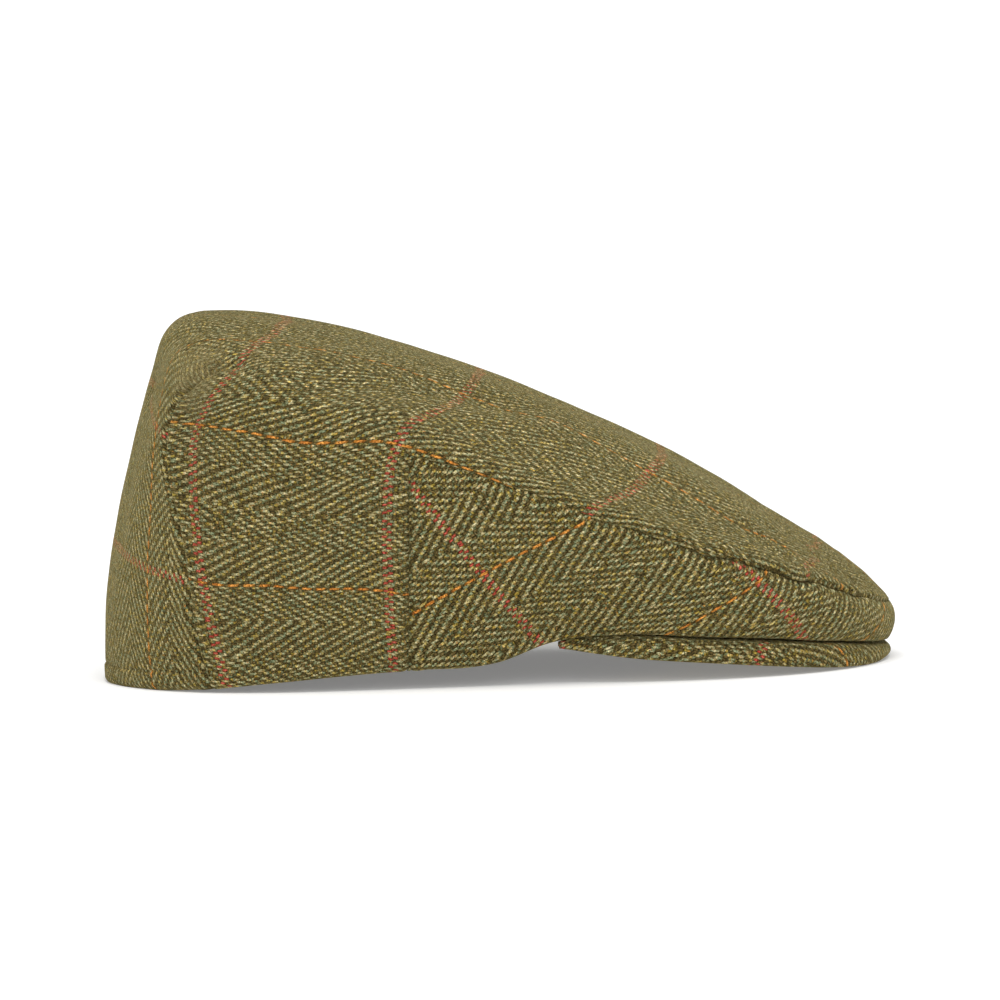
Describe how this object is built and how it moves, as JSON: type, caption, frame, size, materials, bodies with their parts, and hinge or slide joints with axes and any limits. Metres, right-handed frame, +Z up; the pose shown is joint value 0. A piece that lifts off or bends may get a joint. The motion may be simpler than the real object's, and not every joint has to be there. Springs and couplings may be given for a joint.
{
  "type": "flat cap",
  "caption": "Herringbone tweed flat cap with a one-piece crown darted at the back corners, triangular front side panels and a short stiff covered peak.",
  "frame": {"origin": "middle of the cap's length and width, on the table it rests on", "axes": "+X towards the peak, +Y to the wearer's left, +Z up; the cap rests on the back of its rim and the peak's lower edge"},
  "size_m": [0.2706, 0.198, 0.1244],
  "materials": {
    "crown_tweed": "matt woollen herringbone tweed, olive with orange and red lines",
    "side_tweed": "matt woollen herringbone tweed, cut on the bias",
    "peak_tweed": "matt woollen herringbone tweed over a stiff board"
  },
  "bodies": {
    "root": {"crown_cloth": "crown_tweed", "front_side_right": "side_tweed", "front_side_left": "side_tweed", "peak": "peak_tweed"}
  },
  "joints": []
}
